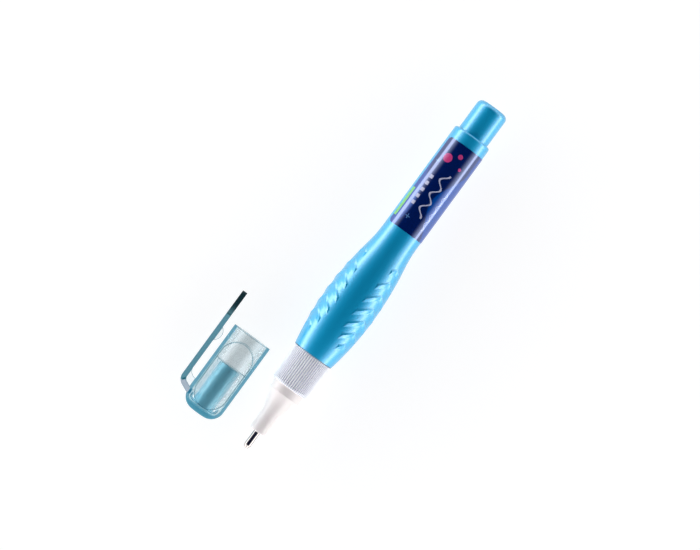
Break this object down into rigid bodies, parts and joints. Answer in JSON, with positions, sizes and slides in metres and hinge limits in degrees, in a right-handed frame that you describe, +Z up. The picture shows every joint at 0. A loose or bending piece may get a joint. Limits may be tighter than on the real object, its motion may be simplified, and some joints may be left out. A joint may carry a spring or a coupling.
{
  "type": "correction pen",
  "caption": "Squeezable correction pen with a bulged, chevron-notched grip, a ribbed white nozzle, a sprung ball-valve metal tip and a clear cap with a clip lying beside it.",
  "frame": {"origin": "on the plane that the pen and its cap lie on, under the middle of the box around both", "axes": "+X along the pen from the writing tip to the tail, +Y from the pen to the cap, +Z up"},
  "size_m": [0.1308, 0.0383, 0.0178],
  "materials": {
    "pearl_plastic": "pearl, glossy",
    "label_film": "printed glossy film",
    "white_plastic": "smooth, glossy",
    "tip_metal": "turned, bright",
    "ball_steel": "polished",
    "rod_steel": "drawn",
    "bush_plastic": "satin",
    "clear_plastic": "clear, tinted teal",
    "sleeve_plastic": "translucent, glossy"
  },
  "bodies": {
    "pen": {"barrel": "pearl_plastic", "tail_plug": "pearl_plastic", "label": "label_film", "nozzle": "white_plastic", "tip_housing": "tip_metal", "spring_retainer": "bush_plastic", "valve_spring": "rod_steel"},
    "valve": {"valve_rod": "rod_steel"},
    "writing_ball": {"tip_ball": "ball_steel"},
    "mixer": {"mixing_ball": "ball_steel"},
    "cap": {"cap": "clear_plastic", "cap_inner_sleeve": "sleeve_plastic"}
  },
  "joints": [
    {"name": "cap_slide", "type": "slide", "parent": "pen", "child": "cap", "axis": [-1, 0, 0], "range_m": [0, 0.0291]},
    {"name": "valve_press", "type": "slide", "parent": "pen", "child": "valve", "axis": [1, 0, 0], "range_m": [0, 0.00025], "stiffness_N_per_m": 200, "springref_m": -0.002, "deforming": ["valve_spring"]},
    {"name": "tip_ball_roll", "type": "hinge", "parent": "valve", "child": "writing_ball", "pos_m": [-0.06486, -0.01019, 0.00899], "axis": [0, 1, 0], "continuous": true},
    {"name": "mixer_travel", "type": "slide", "parent": "pen", "child": "mixer", "axis": [1, 0, 0], "range_m": [-0.0603, 0.0032]}
  ]
}
